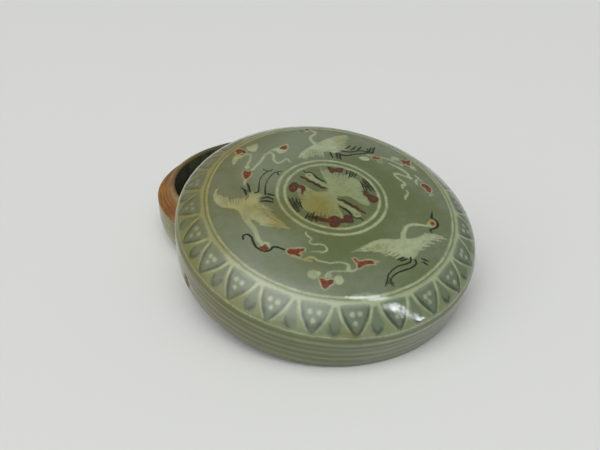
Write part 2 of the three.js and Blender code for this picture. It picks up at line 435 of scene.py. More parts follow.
def clouds_far_left():
    """Three copper-red cloud heads joined by white lines, between the first two cranes."""
    patch("red", [
        (-38.5, 20.5), (-37, 21.4), (-35.6, 20.7), (-34.3, 20), (-34.4, 18.6), (-35.9, 18.8), (-36.6, 17.7),
        (-37.6, 17.3), (-38, 19)])
    dot("black", -34.9, 19.1, 0.9)
    patch("white", [
        (-31.2, 26), (-30.4, 24), (-30.4, 21.4), (-31.4, 20), (-33.2, 20.4), (-34.8, 22.2), (-33.4, 23.8)])
    patch("white", [
        (-38, 16.4), (-36.2, 17.2), (-34.7, 16.6), (-35.2, 15), (-36.4, 13.9), (-36.6, 12), (-37.4, 10.4),
        (-38.3, 12), (-38.4, 14.2)])
    stroke("white", (0.9, 0.8, 0.8), [
        (-34.4, 17.2), (-33, 18.2), (-32.2, 17.6), (-31.8, 15.8), (-31.9, 13.8), (-32.2, 11.8), (-32.1, 9.4)])
    stroke("white", (0.6, 0.85, 0.85, 0.85, 0.85, 0.5), [
        (-29.8, 8.8), (-28.9, 11), (-27.9, 13.4), (-27.3, 15.8), (-26.9, 18), (-26.1, 19.6), (-24.9, 20.1),
        (-23.8, 19.4), (-23.4, 17.6), (-23.1, 15.8), (-22.2, 14.4), (-21, 13.9), (-19.9, 14.9),
        (-19.1, 16.5), (-18.2, 17.4)])
    stroke("white", (0.5, 0.3), [(-18, 17.2), (-17.3, 15.7), (-16.2, 15.4)])
    patch("white", [
        (-19.3, 27.6), (-18.7, 25.4), (-19, 22.9), (-20, 21.2), (-21.6, 20.3), (-22.8, 21.5), (-24.8, 21.7),
        (-24.3, 23.2), (-22.8, 24.3), (-21, 26.5)])
    patch("red", [
        (-19.5, 26.6), (-19.1, 24.9), (-19.6, 23.5), (-20.8, 23.4), (-22.1, 23.8), (-21.5, 25),
        (-20.5, 26.3)])
    stroke("white", (0.5, 0.6), [(-24.4, 22.2), (-25.4, 21.2), (-25.8, 20)])
    patch("red", [
        (-32.6, 7.7), (-31.5, 6.9), (-30.4, 7.5), (-30, 5.6), (-30.6, 3.6), (-31.4, 2.2), (-32.4, 3.9),
        (-33, 6)])
    dot("white", -32.2, 9.6, 1.8, 2)
    dot("white", -29.8, 8.4, 1.4, 1.6)
    dot("black", -29.4, 7.3, 0.8)
    stroke("white", (1, 0.5), [(-31.4, 1.8), (-31.5, 0.4), (-31.2, -0.8)])


def clouds_far_right():
    """The cloud heads between the two white cranes."""
    patch("red", [
        (13.8, 27.2), (14.8, 28.1), (16.2, 28.2), (17.4, 27.6), (16.8, 26.8), (15.4, 26.3), (14.3, 26.4)])
    dot("red", 17.2, 25.2, 1.2, 1.4)
    patch("white", [(8.8, 25.2), (10.2, 26.5), (12.4, 26.6), (13, 25.2), (11.9, 24), (10, 24)])
    stroke("white", (0.5, 0.7, 0.4), [(12.2, 27.8), (13.6, 28.9), (15, 29.3)])
    stroke("white", (0.9, 0.7, 0.6, 0.7), [(17.8, 28.4), (20, 28.3), (22.4, 27.6), (24.6, 26.8), (26.2, 26)])
    patch("red", [
        (25.4, 29.5), (27, 30.1), (28.2, 30.3), (29.2, 31.5), (29.7, 30.5), (29.2, 29.3), (29.6, 27.8),
        (28.5, 26.9), (27.7, 28), (26.4, 26.9), (26.1, 28.3)])
    patch("white", [(21.6, 30.2), (22.8, 31.2), (24.6, 31), (25, 29.6), (23.6, 28.7), (22, 28.9)])
    patch("white", [(29.6, 27.4), (30.8, 27.5), (31.7, 26), (31.5, 24.5), (30.2, 24.9), (29.2, 26)])
    stroke("white", (0.5, 1, 1.4, 1, 0.7), [
        (20.8, 25.2), (23.4, 24.2), (26, 22.9), (27.7, 21.4), (28.3, 19.8), (27.6, 18.7)])
    dot("white", 29.2, 18.6, 1.6, 1.6)
    stroke("white", (1.2, 0.8, 1.2, 0.8, 0.9, 1.3, 0.7), [
        (28.6, 18.7), (26.6, 18.9), (24.8, 19.3), (23.2, 19.1), (22.8, 18), (23.6, 16.9), (24.9, 15.8),
        (26.3, 14.7), (26.5, 13.4), (25.5, 12.2), (25.8, 11)])
    stroke("white", (0.4, 0.7, 0.9, 0.4), [(27.1, 10.2), (27.7, 8.9), (27.3, 7.4), (26.6, 6), (26.6, 4.7)])
    patch("red", [
        (33.2, 16), (34.4, 17), (36, 16.5), (36.9, 15), (36.9, 13.2), (36.2, 12.1), (35.2, 12.8),
        (34.6, 14.2), (33.5, 15)])
    dot("black", 33.6, 16.1, 0.7)
    stroke("white", (0.6, 1, 0.7), [(31.6, 18.6), (31.1, 17.2), (31.5, 15.6)])
    stroke("white", (0.5, 0.8, 0.5), [(31, 21), (32.2, 19.8), (33.4, 18.2)])
    stroke("white", (0.4, 0.7, 0.3), [(36.1, 10.2), (36.8, 11.2), (37.7, 11.6)])


def clouds_near():
    """The cloud heads on the near side, with the heart-shaped one."""
    stroke("white", (0.4, 0.4, 0.45, 0.4, 0.5, 0.45, 0.3), [
        (-7.3, -20.3), (-6.9, -21.6), (-5.9, -22.3), (-5.2, -23), (-5.7, -24.1), (-5.2, -25), (-3.8, -25),
        (-2.2, -24.6), (-0.8, -24.9), (0.2, -25.9), (0.1, -27), (-1.2, -27.7), (-2.8, -27.9), (-4.4, -28.2)])
    patch("red", [
        (-12.2, -28.8), (-11.6, -28.2), (-10.2, -28), (-8.4, -27.5), (-7, -27.4), (-6.9, -28.2),
        (-8, -28.8), (-8.6, -29.6), (-7.6, -30.4), (-8.4, -30.8), (-9.8, -30.6), (-11.4, -30.4),
        (-12.3, -29.8)])
    stroke("white", (0.3, 0.5, 0.6, 0.4), [(-10.4, -31.2), (-8.4, -31.4), (-6.6, -31.8), (-4.2, -32)])
    stroke("white", (0.7, 0.9, 0.8, 0.5), [(-6.2, -31.4), (-5, -30.6), (-3.6, -30.6), (-2.4, -31.4)])
    stroke("white", (0.5, 0.4, 0.45, 0.5, 0.8), [
        (-2.8, -31.2), (-0.4, -31.5), (1.8, -31.6), (3.8, -30.9), (6, -30.6), (7.6, -31.2), (8.1, -32.6)])
    patch("white", [(7.4, -31.6), (8.3, -32.2), (8.6, -33.5), (7.6, -33.9), (6.9, -33.4), (7.1, -32.4)])
    stroke("white", (0.5, 0.4, 0.5, 0.6), [
        (6.8, -33.8), (4.2, -34.2), (2.2, -34.8), (1.1, -35.9), (0.8, -37.2)])
    stroke("white", (0.4, 0.4), [(2.2, -36), (2.1, -37.2)])
    stroke("white", (0.5, 0.5), [(8.2, -33.6), (9.4, -33), (10.4, -32.1)])
    patch("red", [
        (9, -28.3), (9.8, -28.1), (10.8, -28.9), (12, -28.6), (13.2, -28), (14.6, -27.6), (15.9, -28),
        (16, -28.8), (14.8, -29.2), (13.6, -29.6), (12.4, -30.4), (11.2, -31.6), (10.4, -31.2),
        (10.6, -30.2), (9.8, -29.4)])
    stroke("white", (0.6, 0.3), [(16, -28.2), (17.2, -27.5)])
    patch("red", [
        (-1.2, -38), (0.2, -37.9), (1.3, -38.3), (2.4, -37.7), (3.4, -37.8), (3.2, -39), (2.2, -40.2),
        (1.2, -41.5), (0.3, -41.2), (-0.3, -39.8)])
    dot("white", -3.1, -36.9, 3.9, 3.2)
    dot("white", -1.6, -36.2, 1.4, 1.6)
    dot("white", 5, -37.4, 3, 3.5)


def medallion_bird():
    """One of the two birds that chase each other round the medallion."""
    patch("white", [
        (-5.6, 14.6), (-4.9, 12.4), (-3.4, 11.2), (-0.6, 11), (2, 10.3), (4.6, 10), (7, 10.9), (9.4, 9.6),
        (10.2, 7.6), (9.8, 5.6), (10.2, 3.4), (11.2, 1.4), (12.8, -0.6), (13.4, -2.6), (10.4, -2.6),
        (8, -1), (5.6, 0), (3, -0.6), (0.6, -0.6), (-1.6, 0.8), (-2.2, 3), (-2.4, 5.6), (-3.6, 8.2),
        (-4.8, 11)])
    stroke("white", (2, 2.2, 1.8, 1.6, 1.4), [(-9.4, 8.2), (-7.6, 6.8), (-5.2, 5.3), (-3, 4), (-0.4, 3.4)])
    dot("white", -9.2, 8.6, 3, 2.7)
    dot("black", -8.9, 8.4, 0.8)
    stroke("black", (0.2, 0.4, 0.3, 0.8, 0.8, 0.2), [
        (-11.4, 10.9), (-10.4, 9.8), (-9, 10.4), (-7.3, 9.2), (-6.2, 7.7), (-4.5, 6.6), (-2.9, 5.9)])
    stroke("red", (0.9, 1.1, 1), [(-12, 7.1), (-10.8, 6.5), (-9.4, 5.9)])
    stroke("red", (1.2, 1.4, 1.1, 1.3, 0.8, 1, 0.3), [
        (-9.8, 6), (-8.6, 4.9), (-7.4, 4.9), (-6.4, 3.9), (-5.2, 3.8), (-4.1, 2.5), (-2.8, 2.7), (-1.6, 2.1)])
    stroke("black", (0.05, 0.35, 0.3, 0.05), [(-8.8, 5), (-6.5, 3.8), (-4.3, 2.5), (-2.8, 2.4)])
    feathers([(-4.4, 11.4), (-0.6, 11), (3.4, 10.2), (7.2, 10.6)], (-1, 1.6), (0.6, 1.5), 9)
    feathers([(9.4, 8.6), (9.4, 5.6), (10.6, 2.6), (12.2, -0.4)], (1, 0.6), (1.2, -0.5), 8)
    barbs([(-3.4, 9.8), (0.6, 8.4), (4.6, 7.2)], (-0.7, 2.6), (1.2, 2.6), 8)
    barbs([(1.6, 5.4), (4.6, 4.2), (6.6, 2.4), (9, -0.4)], (0.6, 2.6), (2.6, -0.4), 8)
    stroke("black", (0.15, 0.5, 0.15), [(4.4, 15.2), (4.6, 13.8), (4.2, 12.2)],
           [(6, 15.4), (5.8, 13.2), (5.4, 10.9)], [(6.9, 14.9), (6.8, 13), (6.3, 11.2)],
           [(8.2, 14.4), (7.8, 12.9), (7.2, 11.6)], [(10.4, 11.4), (11.8, 9.6), (13.1, 7.4)],
           [(11, 12), (12.6, 9.8), (14.3, 6.6)], [(9.6, 9.6), (10.6, 7.6), (11.2, 5.4)],
           [(10.4, 9), (11.8, 7), (12.4, 4.9)], [(12.4, 9.8), (13.8, 7.6), (15.2, 5.2)],
           [(10.6, 10.2), (12.4, 7.6), (13.8, 5)])


def medallion_clouds():
    """The four red clouds round the medallion."""
    patch("red", [
        (-3, 15.2), (-1.8, 15.6), (-0.4, 14.9), (0.8, 15.6), (2.4, 16), (3.3, 15.2), (2.8, 13.4),
        (1.6, 12.9), (0.2, 12.8), (-0.6, 11.8), (-1.8, 12.2), (-2.4, 13.6)])
    patch("red", [
        (10.9, 4.6), (12.2, 4.9), (13.2, 3.6), (14.8, 2.9), (16.3, 2.4), (16.7, 1), (15.9, -0.3),
        (14.4, -1), (13.1, -0.2), (12.3, 1.4), (11.1, 2.5)])
    patch("red", [
        (-15.4, 1.6), (-14.6, 3.2), (-13.3, 3.5), (-12.2, 2.6), (-11.2, 2.5), (-10, 1.8), (-9.5, 0.2),
        (-10.1, -1.6), (-10.3, -3.4), (-10.9, -2), (-11.3, 0.2), (-12.1, 0.5), (-12.7, -1.2), (-14, -2.1),
        (-15.2, -1.4), (-15.7, 0.2)])
    patch("red", [
        (8.3, -11.8), (7.5, -9.8), (6, -9.3), (4.6, -10.2), (4.6, -11.4), (3.6, -11.6), (2.8, -11.1),
        (1.6, -10.9), (0.2, -11.6), (-0.6, -12.7), (-2.6, -12.7), (-4.8, -12.3), (-6.2, -13.2),
        (-4.6, -14.5), (-2.2, -14.6), (-0.2, -14.9), (0.6, -16.2), (2, -16.5), (3.4, -15.5), (3.8, -14.1),
        (5, -13.5), (6.8, -13.2), (8, -12.8)])


def half_turn(draw):
    """Draws again what a function draws, turned by half a turn."""
    start = len(marks)
    draw()
    for i in range(start, len(marks)):
        ink, line, half = marks[i]
        marks[i] = (ink, -line, half)


def on_band(petal, points):
    """Places points given as (share of a petal's pitch, share of its length) in the band."""
    placed = []
    for across, along in points:
        angle = petal_turn + (petal + across) * 2 * math.pi / petal_count
        radius = petal_start + along * petal_length
        placed.append((radius * math.cos(angle), radius * math.sin(angle)))
    return placed


def petal_patch(petal, sides, middle, wide, tip):
    """A petal's patch of grey-green glaze, with its two sides spread from its middle."""
    left = [(middle - wide * across, along) for across, along in sides]
    right = [(middle + wide * across, along) for across, along in sides]
    patch("petal", on_band(petal, left + [tip] + right[::-1]))


def petals():
    """The band of lotus petals round the shoulder, drawn by hand, so no two are quite alike."""
    rng = np.random.default_rng(petal_seed)
    for petal in range(petal_count):
        shift, wide, tip, lean = rng.uniform(petal_least, petal_most)
        petal_patch(petal, large_petal, shift, wide, (shift + lean, 0.98 + tip))
        petal_patch(petal, small_petal, shift + 0.5, wide, (shift + 0.5 + lean, 0.94 + tip))
        for side in (-1, 1):
            line = [(shift + side * wide * across, along) for across, along in petal_outline]
            stroke("white", (0.95, 0.75, 0.6, 0.4), on_band(petal, line))
            skip = int(rng.integers(0, 2)) if side > 0 else 0
            line = [(shift + side * wide * across, along) for across, along in petal_vein[skip:]]
            thick = rng.uniform(*vein_width)
            stroke("grey", (0.2, thick, thick, 0.6), on_band(petal, line + [(shift + lean, 0.93 + tip)]))
        for across, along, size in petal_dots:
            place = (shift + across + rng.uniform(-0.02, 0.02), along + rng.uniform(-0.03, 0.03))
            x, y = on_band(petal, [place])[0]
            dot("pale", x, y, size)
        chevron = ((-0.12, 0.6), (-0.085, 0.77), (lean, 0.9), (0.085, 0.77), (0.12, 0.6))
        line = [(0.5 + shift + across, along + tip) for across, along in chevron[:int(rng.integers(3, 6))]]
        stroke("grey", (0.2, 1.1, 1.2, 0.5), on_band(petal, line))


def distances(ink, points):
    """Distance from each point to the edge of this ink, negative inside it, up to field_reach."""
    field = np.full(len(points), field_reach)
    for name, line, half in marks:
        if name != ink:
            continue
        closed = half is None
        widths = np.zeros(len(line)) if closed else half
        spread = field_reach + widths.max()
        near = np.flatnonzero(((points > line.min(0) - spread) & (points < line.max(0) + spread)).all(1))
        p = points[near]
        best = np.full(len(p), np.inf)
        inside = np.zeros(len(p), bool)
        for k in range(len(line) - (not closed)):
            a, b = line[k], line[(k + 1) % len(line)]
            along = b - a
            t = np.clip(((p - a) @ along) / (along @ along), 0, 1)
            width = 0 if closed else widths[k] + t * (widths[k + 1] - widths[k])
            best = np.minimum(best, np.linalg.norm(p - a - t[:, None] * along, axis=1) - width)
            if a[1] != b[1]:
                crosses = (a[1] > p[:, 1]) != (b[1] > p[:, 1])
                inside ^= crosses & (p[:, 0] < a[0] + (p[:, 1] - a[1]) * along[0] / along[1])
        if closed:
            best = np.where(inside, -best, best)
        field[near] = np.minimum(field[near], best)
    return field


def turn_from(angle, degrees):
    """Angles measured from the given one, between minus and plus half a turn."""
    return (angle - math.radians(degrees) + math.pi) % (2 * math.pi) - math.pi


def spots(angle, along, places):
    """How strongly soft spots at these places cover each point, from 0 to 1."""
    clear = np.ones(len(along))
    for degrees, distance, reach_round, reach_along, strength in places:
        across = turn_from(angle, degrees) * distance / reach_round
        clear *= 1 - strength * np.exp(-across ** 2 - ((along - distance) / reach_along) ** 2)
    return 1 - clear


def chip_depth(angle, along, points):
    """How deep each point lies in a chip, and how far inside a chip it is, as a share of the chip's size."""
    depth = np.zeros(len(along))
    share = np.full(len(along), -1.0)
    ragged = chip_raggedness * unevenness(points, chip_grain, chip_seed)
    for degrees, distance, width, height, deepest in chips:
        across = turn_from(angle, degrees) * lid_radius / (width / 2)
        inside = 1 - np.hypot(across, (along - distance) / (height / 2)) + ragged
        depth = np.maximum(depth, deepest * np.clip(inside * chip_steepness, 0, 1))
        share = np.maximum(share, inside)
    return depth, share


def arc(centre_r, centre_z, size_r, size_z, start, end):
    """Points of a quarter of an ellipse between two angles in degrees."""
    turns = np.radians(np.linspace(start, end, arc_points))
    return [(centre_r + size_r * math.cos(a), centre_z + size_z * math.sin(a)) for a in turns]


def dome(edge_radius, edge_height, rise):
    """A shallow dome from its middle to its edge, as a parabola."""
    shares = np.linspace(0, 1, curve_points)
    return [(edge_radius * share, edge_height + rise * (1 - share * share)) for share in shares]


def shoulder():
    """Curve from the edge of the lid's dome down to its skirt."""
    a = np.array([dome_radius, shoulder_top])
    b = a + (shoulder_top_run, -shoulder_top_drop)
    d = np.array([lid_radius, skirt_height])
    c = d + (0, shoulder_side_rise)
    return [(1 - t) ** 3 * a + 3 * (1 - t) ** 2 * t * b + 3 * (1 - t) * t * t * c + t ** 3 * d
            for t in np.linspace(0, 1, curve_points)]


def eased(before, after, reach_before, reach_after):
    """Two runs of points that meet in a crease, joined by a soft curve with these reaches from it."""
    crease = np.array(before[-1])
    before = [p for p in before if np.linalg.norm(p - crease) > reach_before]
    after = [p for p in after if np.linalg.norm(p - crease) > reach_after]
    start, end = np.array(before[-1]), np.array(after[0])
    shares = np.linspace(0, 1, easing_points)[1:-1]
    return [*before, *((1 - t) ** 2 * start + 2 * (1 - t) * t * crease + t * t * end for t in shares), *after]


def lid_section():
    """Section of the lid from the middle of its top, over the outside, and back along the inside."""
    edge_radius = lid_radius - lid_edge_tuck
    corner = skirt_inner_radius - lid_corner_round
    return np.array([
        *eased(dome(dome_radius, shoulder_top, dome_rise), shoulder(), crease_inside, crease_outside),
        (lid_radius, skirt_height / 2),
        *arc(edge_radius - lid_edge_round, lid_edge_round, lid_edge_round, lid_edge_round, 0, -90),
        *arc(skirt_inner_radius + lid_edge_round, lid_edge_round, lid_edge_round, lid_edge_round, 270, 180),
        *arc(corner, ceiling_edge - lid_corner_round, lid_corner_round, lid_corner_round, 0, 90),
        *dome(corner, ceiling_edge, dome_rise)[::-1][1:],
    ])


def base_section():
    """Section of the base from the middle of its bottom, up the outside, and down into the well."""
    inner_ledge = ledge_height + ledge_rise
    collar_top = inner_ledge + collar_height
    top_radius = collar_radius - collar_lean
    return np.array([
        (0, 0),
        *arc(base_foot_radius, base_belly_height, base_foot_tuck, base_belly_height, -90, 0),
        *arc(base_radius - ledge_edge_round, ledge_height - ledge_edge_round, ledge_edge_round,
             ledge_edge_round, 0, 90),
        (collar_radius, inner_ledge),
        *arc(top_radius - collar_round, collar_top - collar_round, collar_round, collar_round,
             collar_face_angle, 90),
        (well_radius + ledge_edge_round, collar_top),
        (well_radius, collar_top - ledge_edge_round),
        *arc(well_floor_radius - well_corner_round, base_floor_thickness + well_corner_round,
             well_corner_round, well_corner_round, 0, -90),
        (0, base_floor_thickness),
    ])


class Section:
    """A turned section: the place and the outward direction at each distance along it."""

    def __init__(self, corners, out):
        self.out = out
        along = np.r_[0, np.cumsum(np.linalg.norm(np.diff(corners, axis=0), axis=1))]
        self.total = along[-1]
        self.s = np.linspace(0, self.total, int(self.total / section_step))
        self.r = np.interp(self.s, along, corners[:, 0])
        self.z = np.interp(self.s, along, corners[:, 1])

    def place(self, s, angle, lift):
        """Points on the turned surface, moved outwards by lift."""
        r = np.interp(s, self.s, self.r)
        z = np.interp(s, self.s, self.z)
        dr = np.interp(s, self.s, np.gradient(self.r))
        dz = np.interp(s, self.s, np.gradient(self.z))
        size = np.maximum(np.hypot(dr, dz), 1e-9)
        r = r - self.out * lift * dz / size
        z = z + self.out * lift * dr / size
        return np.stack([r * np.cos(angle), r * np.sin(angle), z], axis=1)


def edge_chain(start, count, closed):
    """Edges between neighbours in a run of points."""
    edges = [(start + i, start + i + 1) for i in range(count - 1)]
    if closed:
        edges.append((start + count - 1, start))
    return edges


def drawing_edges():
    """Points and edges along each drawn line, its middle and its two sides, for a mesh that follows them."""
    points, edges = [], []
    for ink, line, half in marks:
        runs = [(line, half is None)]
        if half is not None:
            along = np.gradient(line, axis=0)
            side = np.stack([-along[:, 1], along[:, 0]], axis=1)
            side /= np.maximum(np.linalg.norm(side, axis=1), 1e-9)[:, None]
            offset = side * half[:, None]
            runs.append((np.vstack([line + offset, (line - offset)[::-1]]), True))
        for run, closed in runs:
            edges += edge_chain(len(points), len(run), closed)
            points += [tuple(p) for p in run]
    return points, edges


def clear_of(points, others, gap):
    """Which points lie further than gap from every one of the others."""
    tree = kdtree.KDTree(len(others))
    for i, (x, y) in enumerate(others):
        tree.insert((x, y, 0), i)
    tree.balance()
    return [tree.find((x, y, 0))[2] > gap for x, y in points]


def disc(columns, radius, spacing, points=(), edges=()):
    """Triangles that fill a disc. Its first points are its rim, and they follow the given edges."""
    turns = np.arange(columns) * 2 * math.pi / columns
    rim = np.stack([radius * np.cos(turns), radius * np.sin(turns)], axis=1)
    all_points = [tuple(p) for p in rim] + list(points)
    all_edges = edge_chain(0, columns, True) + [(a + columns, b + columns) for a, b in edges]
    steps = np.arange(-math.ceil(radius / spacing) - 1, math.ceil(radius / spacing) + 2)
    x, y = np.meshgrid(steps * spacing, steps * spacing * 3 ** 0.5 / 2)
    x = x + (np.arange(len(steps)) % 2)[:, None] * spacing / 2
    ground = np.stack([x.ravel(), y.ravel()], axis=1)
    ground = ground[np.linalg.norm(ground, axis=1) < radius - spacing / 2]
    if len(points):
        ground = ground[clear_of(ground, np.array(points), spacing * drawing_gap)]
    all_points += [tuple(p) for p in ground]
    made = delaunay_2d_cdt([Vector(p) for p in all_points], all_edges, [], 0, 1e-4, True)
    flat = np.array([tuple(p) for p in made[0]])
    first = {old: new for new, olds in enumerate(made[3]) for old in olds if old < columns}
    order = [first[i] for i in range(columns)]
    order += sorted(set(range(len(flat))) - set(order))
    place = np.empty(len(flat), int)
    place[order] = np.arange(len(flat))
    return flat[order], [tuple(place[list(face)]) for face in made[2]]


def turned_shell(section, columns, first_disc, rows, last_disc):
    """A closed turned mesh: a disc, rows round the axis and a disc, as distances along, angles and faces."""
    flat, triangles = first_disc
    faces = list(triangles)
    s = [np.linalg.norm(flat, axis=1)]
    angle = [np.arctan2(flat[:, 1], flat[:, 0])]
    around = np.arange(columns)
    following = (around + 1) % columns
    previous = 0
    start = len(flat)
    for row in rows:
        s.append(np.full(columns, row))
        angle.append(around * 2 * math.pi / columns)
        quads = np.stack([previous + around, start + around, start + following, previous + following], axis=1)
        faces += [tuple(quad) for quad in quads]
        previous = start
        start += columns
    flat, triangles = last_disc
    s.append(section.total - np.linalg.norm(flat[columns:], axis=1))
    angle.append(np.arctan2(flat[columns:, 1], flat[columns:, 0]))
    faces += [tuple(previous + i for i in triangle)[::-1] for triangle in triangles]
    if section.out < 0:
        faces = [face[::-1] for face in faces]
    return np.concatenate(s), np.concatenate(angle), faces


def unevenness(points, scale, seed):
    """Slow hand-made unevenness between about -1 and 1, from noise at points in millimetres."""
    offset = Vector((seed * 17.3, seed * 5.1, 0.0))
    return np.array([noise.noise(Vector(p) / scale + offset) for p in points])


def link(name, data):
    """A new object in the scene."""
    made = bpy.data.objects.new(name, data)
    bpy.context.scene.collection.objects.link(made)
    return made


def make_piece(name, points, faces, fields, flat):
    """A smooth mesh object with its fields as attributes of its points."""
    mesh = bpy.data.meshes.new(name)
    mesh.from_pydata([tuple(p) for p in points * mm], [], faces)
    for field, values in fields.items():
        mesh.attributes.new(field, "FLOAT", "POINT").data.foreach_set("value", values.astype(np.float32))
    unrolled = mesh.attributes.new("flat", "FLOAT_VECTOR", "POINT")
    unrolled.data.foreach_set("vector", flat.astype(np.float32).ravel())
    mesh.polygons.foreach_set("use_smooth", [True] * len(mesh.polygons))
    mesh.update()
    return link(name, mesh)


def lid_place(node):
    """How the lid leans and where the middle of its edge lies, in millimetres, from its turned node."""
    corners = np.array([v.co for v in node.data.vertices], float) / mm
    middle = corners.mean(0)
    directions = np.linalg.eigh(np.cov((corners - middle).T))[1]
    axis = directions[:, 0] * np.sign(directions[2, 0])
    right = np.array([1.0, 0.0, 0.0])
    lowest = (corners @ axis).min()
    return np.stack([right, np.cross(axis, right), axis], axis=1), middle + axis * (lowest - middle @ axis)


def build_lid():
    """The lid, turned in its own frame and then leant against the base."""
    section = Section(lid_section(), 1)
    inside_start = float(section.s[section.z < 0.01][-1]) + lid_inside_row
    shoulder_end = float(section.s[np.argmax(section.r > lid_radius - 1e-3)])
    top = disc(lid_columns, shoulder_end, drawn_spacing, *drawing_edges())
    rows = [*np.arange(shoulder_end + skirt_row, lid_edge_start, skirt_row),
            *np.arange(lid_edge_start, inside_start, edge_row),
            *np.arange(inside_start, section.total - ceiling_radius, lid_inside_row)]
    ceiling = disc(lid_columns, section.total - rows[-1], plain_spacing)
    s, angle, faces = turned_shell(section, lid_columns, top, rows, ceiling)
    flat = np.stack([s * np.cos(angle), s * np.sin(angle)], axis=1)
    drawn = s < shoulder_end
    fields = {}
    for ink in sorted({ink for ink, line, half in marks}):
        fields[ink] = np.full(len(s), field_reach)
        fields[ink][drawn] = distances(ink, flat[drawn])
    fields["stain"] = np.where(s < lid_edge_start, spots(angle, s, stains), 0)
    # Where the greyer clouds and the painted sheen lie
    fields["cloud"] = spots(angle, s, grey_clouds_and_sheen)
    surface = section.place(s, angle, np.zeros(len(s)))
    depth, fields["chip"] = chip_depth(angle, s, surface)
    lift = -surface_depth + wave_height * unevenness(surface, lid_wave_scale, lid_wave_seed) - depth
    lean, origin = lid_place(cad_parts["lid"])
    points = section.place(s, angle + pattern_turn, lift) @ lean.T + origin
    return make_piece("lid_ceramic", points, faces, fields, np.column_stack([flat, s]))


def build_base():
    """The base dish."""
    section = Section(base_section(), -1)
    floor_start = section.total - (well_floor_radius - well_corner_round)
    rows = list(np.arange(base_foot_radius + base_row, floor_start, base_row))
    bottom = disc(base_columns, base_foot_radius, plain_spacing)
    floor = disc(base_columns, section.total - rows[-1], well_spacing)
    s, angle, faces = turned_shell(section, base_columns, bottom, rows, floor)
    flat = np.stack([s * np.cos(angle), s * np.sin(angle)], axis=1)
    surface = section.place(s, angle, np.zeros(len(s)))
    lift = -surface_depth + wave_height * unevenness(surface, base_wave_scale, base_wave_seed)
    lift[surface[:, 2] < foot_flat_below] = 0
    points = section.place(s, angle, lift)
    return make_piece("base_ceramic", points, faces, {}, np.column_stack([flat, s]))


class Value:
    """What a shader node puts out: a number, a colour or a place. Numbers can be added and multiplied."""

    def __init__(self, tree, socket):
        self.tree = tree
        self.socket = socket

    def __add__(self, other):
        return calc("ADD", self, other)

    def __sub__(self, other):
        return calc("SUBTRACT", self, other)

    def __rsub__(self, other):
        return calc("SUBTRACT", other, self)

    def __mul__(self, other):
        return calc("MULTIPLY", self, other)


def node(tree, kind, inputs=(), output=0, **settings):
    """Adds a shader node and gives back one of its outputs. Its inputs are values, numbers or colours."""
    made = tree.nodes.new(kind)
    for name, value in settings.items():
        setattr(made, name, value)
    for socket, value in dict(inputs).items():
        if isinstance(value, Value):
            tree.links.new(value.socket, made.inputs[socket])
        else:
            made.inputs[socket].default_value = value
    return Value(tree, made.outputs[output])


def calc(operation, *numbers):
    """A Math node on numbers, at least one of which is a value."""
    tree = next(number.tree for number in numbers if isinstance(number, Value))
    return node(tree, "ShaderNodeMath", enumerate(numbers), operation=operation)


def higher(one, other):
    """The higher of two numbers."""
    return calc("MAXIMUM", one, other)


def lower(one, other):
    """The lower of two numbers."""
    return calc("MINIMUM", one, other)


def ramp(value, start, end, low=0.0, high=1.0):
    """A smooth step from low to high between two values."""
    inputs = {0: value, 1: start, 2: end, 3: low, 4: high}
    return node(value.tree, "ShaderNodeMapRange", inputs, interpolation_type="SMOOTHSTEP")


def within(distance, softness, strength=1.0):
    """The strength inside an edge and 0 outside it, from a distance in millimetres."""
    return ramp(distance, softness, -softness, 0.0, strength)


def turned_lines(along, lines):
    """Distance to the edge of the nearest of some turned lines."""
    nearest = out_of_reach
    for middle, width in lines:
        nearest = lower(calc("ABSOLUTE", along - middle) - width / 2, nearest)
    return nearest


def colour(red, green, blue):
    """A linear colour from one written as it looks on a screen, from 0 to 255."""
    parts = [c / 255 for c in (red, green, blue)]
    return (*(p / 12.92 if p <= 0.04045 else ((p + 0.055) / 1.055) ** 2.4 for p in parts), 1.0)


def mix(share, under, over):
    """One value or linear colour laid over another, as thickly as share says."""
    # A Mix node takes colours at its inputs 6 and 7 and gives them at its output 2
    return node(share.tree, "ShaderNodeMix", {0: share, 6: under, 7: over}, 2, data_type="RGBA")


def blend(share, under, over):
    """One value or written colour laid over another, as thickly as share says."""
    return mix(share, *(paint if isinstance(paint, Value) else colour(*paint) for paint in (under, over)))


def vectors(operation, one, other):
    """A Vector Math node."""
    return node(one.tree, "ShaderNodeVectorMath", {0: one, 1: other}, operation=operation)


def grain(place, scale, detail=2.0, roughness=0.5):
    """Noise around 0.5."""
    inputs = {"Vector": place, "Scale": scale, "Detail": detail, "Roughness": roughness}
    return node(place.tree, "ShaderNodeTexNoise", inputs)


